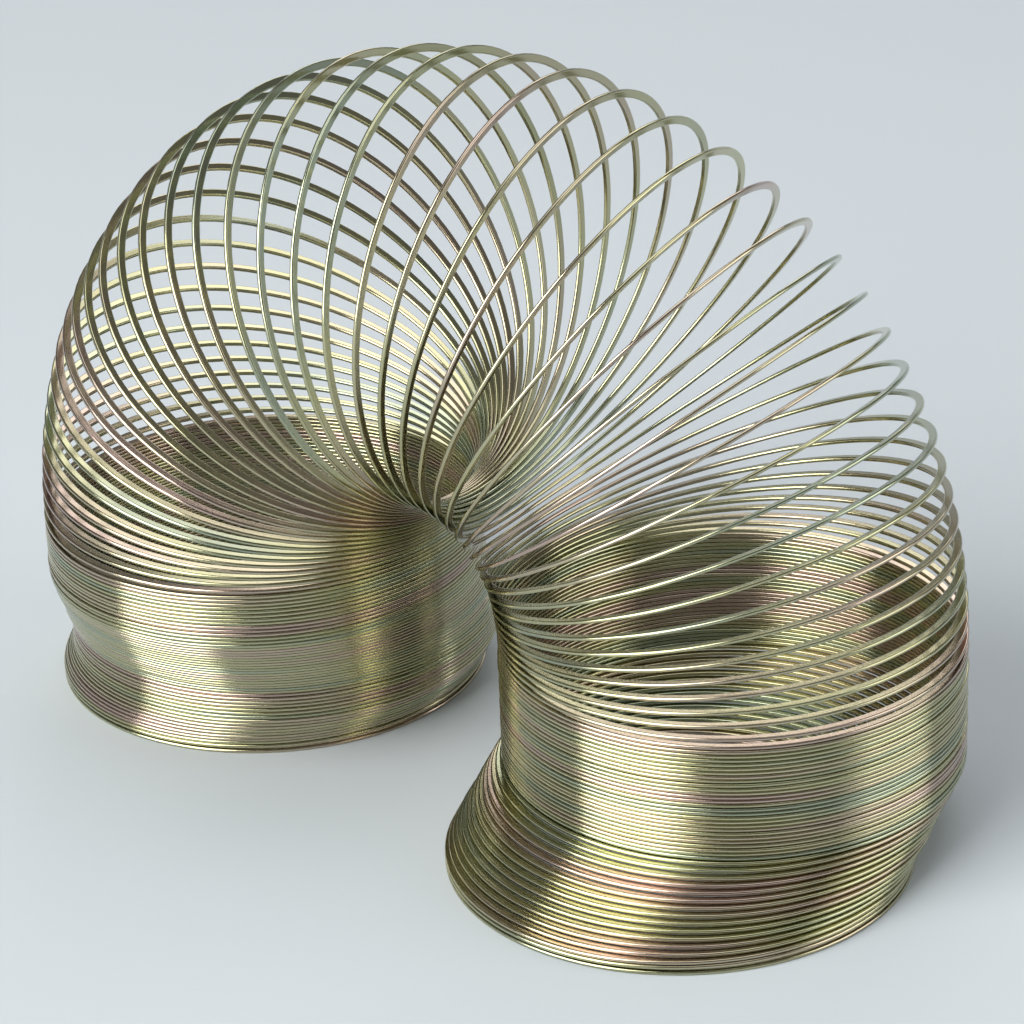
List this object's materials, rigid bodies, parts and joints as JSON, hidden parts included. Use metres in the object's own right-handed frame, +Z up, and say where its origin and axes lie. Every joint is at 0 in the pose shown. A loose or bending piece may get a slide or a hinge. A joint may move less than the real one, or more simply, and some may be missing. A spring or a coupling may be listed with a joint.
{
  "type": "spring coil toy",
  "caption": "Flat-wire metal spring toy bent into an arch that stands on both closed ends, with a crimped strip at each end turn.",
  "frame": {"origin": "centre of the bottom of the bounding box, on the surface it stands on", "axes": "+Z up; +X from the far foot to the near foot, along the arch; +Y across the arch"},
  "size_m": [0.1618, 0.0926, 0.1122],
  "materials": {
    "spring_wire": "satin",
    "clip_steel": "satin"
  },
  "bodies": {
    "far_foot_1": {"far_foot_coil_1": "spring_wire", "far_end_clip": "clip_steel"},
    "far_foot_2": {"far_foot_coil_2": "spring_wire"},
    "far_foot_3": {"far_foot_coil_3": "spring_wire"},
    "far_foot_4": {"far_foot_coil_4": "spring_wire"},
    "far_foot_5": {"far_foot_coil_5": "spring_wire"},
    "far_foot_6": {"far_foot_coil_6": "spring_wire"},
    "arch_01": {"arch_turn_01": "spring_wire"},
    "arch_02": {"arch_turn_02": "spring_wire"},
    "arch_03": {"arch_turn_03": "spring_wire"},
    "arch_04": {"arch_turn_04": "spring_wire"},
    "arch_05": {"arch_turn_05": "spring_wire"},
    "arch_06": {"arch_turn_06": "spring_wire"},
    "arch_07": {"arch_turn_07": "spring_wire"},
    "arch_08": {"arch_turn_08": "spring_wire"},
    "arch_09": {"arch_turn_09": "spring_wire"},
    "arch_10": {"arch_turn_10": "spring_wire"},
    "arch_11": {"arch_turn_11": "spring_wire"},
    "arch_12": {"arch_turn_12": "spring_wire"},
    "arch_13": {"arch_turn_13": "spring_wire"},
    "arch_14": {"arch_turn_14": "spring_wire"},
    "arch_15": {"arch_turn_15": "spring_wire"},
    "arch_16": {"arch_turn_16": "spring_wire"},
    "arch_17": {"arch_turn_17": "spring_wire"},
    "arch_18": {"arch_turn_18": "spring_wire"},
    "arch_19": {"arch_turn_19": "spring_wire"},
    "arch_20": {"arch_turn_20": "spring_wire"},
    "arch_21": {"arch_turn_21": "spring_wire"},
    "arch_22": {"arch_turn_22": "spring_wire"},
    "arch_23": {"arch_turn_23": "spring_wire"},
    "arch_24": {"arch_turn_24": "spring_wire"},
    "arch_25": {"arch_turn_25": "spring_wire"},
    "arch_26": {"arch_turn_26": "spring_wire"},
    "arch_27": {"arch_turn_27": "spring_wire"},
    "arch_28": {"arch_turn_28": "spring_wire"},
    "arch_29": {"arch_turn_29": "spring_wire"},
    "arch_30": {"arch_turn_30": "spring_wire"},
    "arch_31": {"arch_turn_31": "spring_wire"},
    "arch_32": {"arch_turn_32": "spring_wire"},
    "arch_33": {"arch_turn_33": "spring_wire"},
    "arch_34": {"arch_turn_34": "spring_wire"},
    "arch_35": {"arch_turn_35": "spring_wire"},
    "arch_36": {"arch_turn_36": "spring_wire"},
    "arch_37": {"arch_turn_37": "spring_wire"},
    "arch_38": {"arch_turn_38": "spring_wire"},
    "arch_39": {"arch_turn_39": "spring_wire"},
    "arch_40": {"arch_turn_40": "spring_wire"},
    "arch_41": {"arch_turn_41": "spring_wire"},
    "arch_42": {"arch_turn_42": "spring_wire"},
    "arch_43": {"arch_turn_43": "spring_wire"},
    "arch_44": {"arch_turn_44": "spring_wire"},
    "near_foot_1": {"near_foot_coil_1": "spring_wire"},
    "near_foot_2": {"near_foot_coil_2": "spring_wire"},
    "near_foot_3": {"near_foot_coil_3": "spring_wire"},
    "near_foot_4": {"near_foot_coil_4": "spring_wire"},
    "near_foot_5": {"near_foot_coil_5": "spring_wire"},
    "near_foot_6": {"near_foot_coil_6": "spring_wire", "near_end_clip": "clip_steel"}
  },
  "joints": [
    {"name": "far_foot_hinge_1", "type": "hinge", "parent": "far_foot_1", "child": "far_foot_2", "pos_m": [-0.00901, 0.0113, 0.00583], "axis": [0, 1, 0], "range_deg": [0, 0.12], "stiffness_Nm_per_rad": 0.0229, "springref_deg": -5.73},
    {"name": "far_foot_hinge_2", "type": "hinge", "parent": "far_foot_2", "child": "far_foot_3", "pos_m": [-0.00869, 0.0113, 0.01103], "axis": [0, 1, 0], "range_deg": [0, 0.12], "stiffness_Nm_per_rad": 0.0229, "springref_deg": -5.73},
    {"name": "far_foot_hinge_3", "type": "hinge", "parent": "far_foot_3", "child": "far_foot_4", "pos_m": [-0.00771, 0.00846, 0.01622], "axis": [0, 1, 0], "range_deg": [0, 0.12], "stiffness_Nm_per_rad": 0.0229, "springref_deg": -5.73},
    {"name": "far_foot_hinge_4", "type": "hinge", "parent": "far_foot_4", "child": "far_foot_5", "pos_m": [-0.00663, 0.00537, 0.02142], "axis": [0, 1, 0], "range_deg": [0, 0.12], "stiffness_Nm_per_rad": 0.0229, "springref_deg": -5.73},
    {"name": "far_foot_hinge_5", "type": "hinge", "parent": "far_foot_5", "child": "far_foot_6", "pos_m": [-0.00619, 0.0041, 0.02662], "axis": [0, 1, 0], "range_deg": [0, 0.12], "stiffness_Nm_per_rad": 0.0229, "springref_deg": -5.73},
    {"name": "arch_hinge_01", "type": "hinge", "parent": "far_foot_6", "child": "arch_01", "pos_m": [-0.00619, 0.0041, 0.03182], "axis": [0, 1, 0], "range_deg": [-0.79, 0.01], "stiffness_Nm_per_rad": 0.0229, "springref_deg": 3.86},
    {"name": "arch_hinge_02", "type": "hinge", "parent": "arch_01", "child": "arch_02", "pos_m": [-0.00619, 0.0041, 0.03247], "axis": [0, 1, 0], "range_deg": [-1.62, 0.02], "stiffness_Nm_per_rad": 0.0229, "springref_deg": 2.59},
    {"name": "arch_hinge_03", "type": "hinge", "parent": "arch_02", "child": "arch_03", "pos_m": [-0.00616, 0.0041, 0.03312], "axis": [0, 1, 0], "range_deg": [-1.69, 0.02], "stiffness_Nm_per_rad": 0.0229, "springref_deg": 1.33},
    {"name": "arch_hinge_04", "type": "hinge", "parent": "arch_03", "child": "arch_04", "pos_m": [-0.00611, 0.0041, 0.03377], "axis": [0, 1, 0], "range_deg": [-1.82, 0.02], "stiffness_Nm_per_rad": 0.0229, "springref_deg": 0.08},
    {"name": "arch_hinge_05", "type": "hinge", "parent": "arch_04", "child": "arch_05", "pos_m": [-0.00604, 0.0041, 0.03442], "axis": [0, 1, 0], "range_deg": [-1.99, 0.02], "stiffness_Nm_per_rad": 0.0229, "springref_deg": -1.15},
    {"name": "arch_hinge_06", "type": "hinge", "parent": "arch_05", "child": "arch_06", "pos_m": [-0.00595, 0.0041, 0.03506], "axis": [0, 1, 0], "range_deg": [-2.2, 0.02], "stiffness_Nm_per_rad": 0.0229, "springref_deg": -2.38},
    {"name": "arch_hinge_07", "type": "hinge", "parent": "arch_06", "child": "arch_07", "pos_m": [-0.00584, 0.0041, 0.03571], "axis": [0, 1, 0], "range_deg": [-2.45, 0.02], "stiffness_Nm_per_rad": 0.0229, "springref_deg": -3.58},
    {"name": "arch_hinge_08", "type": "hinge", "parent": "arch_07", "child": "arch_08", "pos_m": [-0.0057, 0.0041, 0.03634], "axis": [0, 1, 0], "range_deg": [-2.74, 0.03], "stiffness_Nm_per_rad": 0.0229, "springref_deg": -4.77},
    {"name": "arch_hinge_09", "type": "hinge", "parent": "arch_08", "child": "arch_09", "pos_m": [-0.00552, 0.0041, 0.03698], "axis": [0, 1, 0], "range_deg": [-3.05, 0.03], "stiffness_Nm_per_rad": 0.0229, "springref_deg": -5.94},
    {"name": "arch_hinge_10", "type": "hinge", "parent": "arch_09", "child": "arch_10", "pos_m": [-0.00531, 0.0041, 0.0376], "axis": [0, 1, 0], "range_deg": [-3.38, 0.03], "stiffness_Nm_per_rad": 0.0229, "springref_deg": -7.09},
    {"name": "arch_hinge_11", "type": "hinge", "parent": "arch_10", "child": "arch_11", "pos_m": [-0.00507, 0.0041, 0.03822], "axis": [0, 1, 0], "range_deg": [-3.73, 0.04], "stiffness_Nm_per_rad": 0.0229, "springref_deg": -8.2},
    {"name": "arch_hinge_12", "type": "hinge", "parent": "arch_11", "child": "arch_12", "pos_m": [-0.00478, 0.0041, 0.03882], "axis": [0, 1, 0], "range_deg": [-4.09, 0.04], "stiffness_Nm_per_rad": 0.0229, "springref_deg": -9.28},
    {"name": "arch_hinge_13", "type": "hinge", "parent": "arch_12", "child": "arch_13", "pos_m": [-0.00444, 0.0041, 0.03941], "axis": [0, 1, 0], "range_deg": [-4.44, 0.04], "stiffness_Nm_per_rad": 0.0229, "springref_deg": -10.32},
    {"name": "arch_hinge_14", "type": "hinge", "parent": "arch_13", "child": "arch_14", "pos_m": [-0.00406, 0.0041, 0.03998], "axis": [0, 1, 0], "range_deg": [-4.79, 0.05], "stiffness_Nm_per_rad": 0.0229, "springref_deg": -11.3},
    {"name": "arch_hinge_15", "type": "hinge", "parent": "arch_14", "child": "arch_15", "pos_m": [-0.00362, 0.0041, 0.04052], "axis": [0, 1, 0], "range_deg": [-5.12, 0.05], "stiffness_Nm_per_rad": 0.0229, "springref_deg": -12.24},
    {"name": "arch_hinge_16", "type": "hinge", "parent": "arch_15", "child": "arch_16", "pos_m": [-0.00313, 0.0041, 0.04103], "axis": [0, 1, 0], "range_deg": [-5.43, 0.05], "stiffness_Nm_per_rad": 0.0229, "springref_deg": -13.1},
    {"name": "arch_hinge_17", "type": "hinge", "parent": "arch_16", "child": "arch_17", "pos_m": [-0.00259, 0.0041, 0.04149], "axis": [0, 1, 0], "range_deg": [-5.72, 0.06], "stiffness_Nm_per_rad": 0.0229, "springref_deg": -13.88},
    {"name": "arch_hinge_18", "type": "hinge", "parent": "arch_17", "child": "arch_18", "pos_m": [-0.00198, 0.0041, 0.04191], "axis": [0, 1, 0], "range_deg": [-5.97, 0.06], "stiffness_Nm_per_rad": 0.0229, "springref_deg": -14.58},
    {"name": "arch_hinge_19", "type": "hinge", "parent": "arch_18", "child": "arch_19", "pos_m": [-0.00132, 0.0041, 0.04228], "axis": [0, 1, 0], "range_deg": [-6.18, 0.06], "stiffness_Nm_per_rad": 0.0229, "springref_deg": -15.19},
    {"name": "arch_hinge_20", "type": "hinge", "parent": "arch_19", "child": "arch_20", "pos_m": [-0.00061, 0.0041, 0.04258], "axis": [0, 1, 0], "range_deg": [-6.35, 0.06], "stiffness_Nm_per_rad": 0.0229, "springref_deg": -15.69},
    {"name": "arch_hinge_21", "type": "hinge", "parent": "arch_20", "child": "arch_21", "pos_m": [0.00015, 0.0041, 0.0428], "axis": [0, 1, 0], "range_deg": [-6.48, 0.06], "stiffness_Nm_per_rad": 0.0229, "springref_deg": -16.08},
    {"name": "arch_hinge_22", "type": "hinge", "parent": "arch_21", "child": "arch_22", "pos_m": [0.00095, 0.0041, 0.04294], "axis": [0, 1, 0], "range_deg": [-6.55, 0.07], "stiffness_Nm_per_rad": 0.0229, "springref_deg": -16.35},
    {"name": "arch_hinge_23", "type": "hinge", "parent": "arch_22", "child": "arch_23", "pos_m": [0.00178, 0.0041, 0.04298], "axis": [0, 1, 0], "range_deg": [-6.58, 0.07], "stiffness_Nm_per_rad": 0.0229, "springref_deg": -16.5},
    {"name": "arch_hinge_24", "type": "hinge", "parent": "arch_23", "child": "arch_24", "pos_m": [0.00263, 0.0041, 0.04293], "axis": [0, 1, 0], "range_deg": [-6.55, 0.07], "stiffness_Nm_per_rad": 0.0229, "springref_deg": -16.54},
    {"name": "arch_hinge_25", "type": "hinge", "parent": "arch_24", "child": "arch_25", "pos_m": [0.00349, 0.0041, 0.04278], "axis": [0, 1, 0], "range_deg": [-6.48, 0.06], "stiffness_Nm_per_rad": 0.0229, "springref_deg": -16.44},
    {"name": "arch_hinge_26", "type": "hinge", "parent": "arch_25", "child": "arch_26", "pos_m": [0.00435, 0.0041, 0.04253], "axis": [0, 1, 0], "range_deg": [-6.35, 0.06], "stiffness_Nm_per_rad": 0.0229, "springref_deg": -16.23},
    {"name": "arch_hinge_27", "type": "hinge", "parent": "arch_26", "child": "arch_27", "pos_m": [0.00519, 0.0041, 0.04218], "axis": [0, 1, 0], "range_deg": [-6.18, 0.06], "stiffness_Nm_per_rad": 0.0229, "springref_deg": -15.89},
    {"name": "arch_hinge_28", "type": "hinge", "parent": "arch_27", "child": "arch_28", "pos_m": [0.00601, 0.0041, 0.04173], "axis": [0, 1, 0], "range_deg": [-5.97, 0.06], "stiffness_Nm_per_rad": 0.0229, "springref_deg": -15.45},
    {"name": "arch_hinge_29", "type": "hinge", "parent": "arch_28", "child": "arch_29", "pos_m": [0.00678, 0.0041, 0.0412], "axis": [0, 1, 0], "range_deg": [-5.72, 0.06], "stiffness_Nm_per_rad": 0.0229, "springref_deg": -14.9},
    {"name": "arch_hinge_30", "type": "hinge", "parent": "arch_29", "child": "arch_30", "pos_m": [0.00749, 0.0041, 0.04058], "axis": [0, 1, 0], "range_deg": [-5.43, 0.05], "stiffness_Nm_per_rad": 0.0229, "springref_deg": -14.26},
    {"name": "arch_hinge_31", "type": "hinge", "parent": "arch_30", "child": "arch_31", "pos_m": [0.00816, 0.0041, 0.0399], "axis": [0, 1, 0], "range_deg": [-5.12, 0.05], "stiffness_Nm_per_rad": 0.0229, "springref_deg": -13.52},
    {"name": "arch_hinge_32", "type": "hinge", "parent": "arch_31", "child": "arch_32", "pos_m": [0.00875, 0.0041, 0.03916], "axis": [0, 1, 0], "range_deg": [-4.79, 0.05], "stiffness_Nm_per_rad": 0.0229, "springref_deg": -12.69},
    {"name": "arch_hinge_33", "type": "hinge", "parent": "arch_32", "child": "arch_33", "pos_m": [0.00928, 0.0041, 0.03838], "axis": [0, 1, 0], "range_deg": [-4.44, 0.04], "stiffness_Nm_per_rad": 0.0229, "springref_deg": -11.79},
    {"name": "arch_hinge_34", "type": "hinge", "parent": "arch_33", "child": "arch_34", "pos_m": [0.00974, 0.0041, 0.03758], "axis": [0, 1, 0], "range_deg": [-4.09, 0.04], "stiffness_Nm_per_rad": 0.0229, "springref_deg": -10.83},
    {"name": "arch_hinge_35", "type": "hinge", "parent": "arch_34", "child": "arch_35", "pos_m": [0.01013, 0.0041, 0.03676], "axis": [0, 1, 0], "range_deg": [-3.73, 0.04], "stiffness_Nm_per_rad": 0.0229, "springref_deg": -9.81},
    {"name": "arch_hinge_36", "type": "hinge", "parent": "arch_35", "child": "arch_36", "pos_m": [0.01046, 0.0041, 0.03594], "axis": [0, 1, 0], "range_deg": [-3.38, 0.03], "stiffness_Nm_per_rad": 0.0229, "springref_deg": -8.74},
    {"name": "arch_hinge_37", "type": "hinge", "parent": "arch_36", "child": "arch_37", "pos_m": [0.01073, 0.0041, 0.03512], "axis": [0, 1, 0], "range_deg": [-3.05, 0.03], "stiffness_Nm_per_rad": 0.0229, "springref_deg": -7.63},
    {"name": "arch_hinge_38", "type": "hinge", "parent": "arch_37", "child": "arch_38", "pos_m": [0.01095, 0.0041, 0.03432], "axis": [0, 1, 0], "range_deg": [-2.74, 0.03], "stiffness_Nm_per_rad": 0.0229, "springref_deg": -6.48},
    {"name": "arch_hinge_39", "type": "hinge", "parent": "arch_38", "child": "arch_39", "pos_m": [0.01112, 0.0041, 0.03355], "axis": [0, 1, 0], "range_deg": [-2.45, 0.02], "stiffness_Nm_per_rad": 0.0229, "springref_deg": -5.31},
    {"name": "arch_hinge_40", "type": "hinge", "parent": "arch_39", "child": "arch_40", "pos_m": [0.01125, 0.0041, 0.0328], "axis": [0, 1, 0], "range_deg": [-2.2, 0.02], "stiffness_Nm_per_rad": 0.0229, "springref_deg": -4.11},
    {"name": "arch_hinge_41", "type": "hinge", "parent": "arch_40", "child": "arch_41", "pos_m": [0.01136, 0.0041, 0.03208], "axis": [0, 1, 0], "range_deg": [-1.99, 0.02], "stiffness_Nm_per_rad": 0.0229, "springref_deg": -2.89},
    {"name": "arch_hinge_42", "type": "hinge", "parent": "arch_41", "child": "arch_42", "pos_m": [0.01143, 0.0041, 0.03138], "axis": [0, 1, 0], "range_deg": [-1.82, 0.02], "stiffness_Nm_per_rad": 0.0229, "springref_deg": -1.66},
    {"name": "arch_hinge_43", "type": "hinge", "parent": "arch_42", "child": "arch_43", "pos_m": [0.01148, 0.0041, 0.0307], "axis": [0, 1, 0], "range_deg": [-1.69, 0.02], "stiffness_Nm_per_rad": 0.0229, "springref_deg": -0.42},
    {"name": "arch_hinge_44", "type": "hinge", "parent": "arch_43", "child": "arch_44", "pos_m": [0.0115, 0.0041, 0.03004], "axis": [0, 1, 0], "range_deg": [-1.62, 0.02], "stiffness_Nm_per_rad": 0.0229, "springref_deg": 0.84},
    {"name": "arch_hinge_45", "type": "hinge", "parent": "arch_44", "child": "near_foot_1", "pos_m": [0.01151, 0.0041, 0.02939], "axis": [0, 1, 0], "range_deg": [-0.79, 0.01], "stiffness_Nm_per_rad": 0.0229, "springref_deg": 2.11},
    {"name": "near_foot_hinge_1", "type": "hinge", "parent": "near_foot_1", "child": "near_foot_2", "pos_m": [0.01151, 0.0041, 0.02476], "axis": [0, 1, 0], "range_deg": [0, 0.12], "stiffness_Nm_per_rad": 0.0229, "springref_deg": -5.73},
    {"name": "near_foot_hinge_2", "type": "hinge", "parent": "near_foot_2", "child": "near_foot_3", "pos_m": [0.01151, 0.0041, 0.02014], "axis": [0, 1, 0], "range_deg": [0, 0.12], "stiffness_Nm_per_rad": 0.0229, "springref_deg": -5.73},
    {"name": "near_foot_hinge_3", "type": "hinge", "parent": "near_foot_3", "child": "near_foot_4", "pos_m": [0.01151, 0.0041, 0.01485], "axis": [0, 1, 0], "range_deg": [0, 0.12], "stiffness_Nm_per_rad": 0.0229, "springref_deg": -5.73},
    {"name": "near_foot_hinge_4", "type": "hinge", "parent": "near_foot_4", "child": "near_foot_5", "pos_m": [0.0115, 0.00347, 0.01022], "axis": [0, 1, 0], "range_deg": [0, 0.12], "stiffness_Nm_per_rad": 0.0229, "springref_deg": -5.73},
    {"name": "near_foot_hinge_5", "type": "hinge", "parent": "near_foot_5", "child": "near_foot_6", "pos_m": [0.01129, -0.00462, 0.00559], "axis": [0, 1, 0], "range_deg": [0, 0.12], "stiffness_Nm_per_rad": 0.0229, "springref_deg": -5.73}
  ]
}
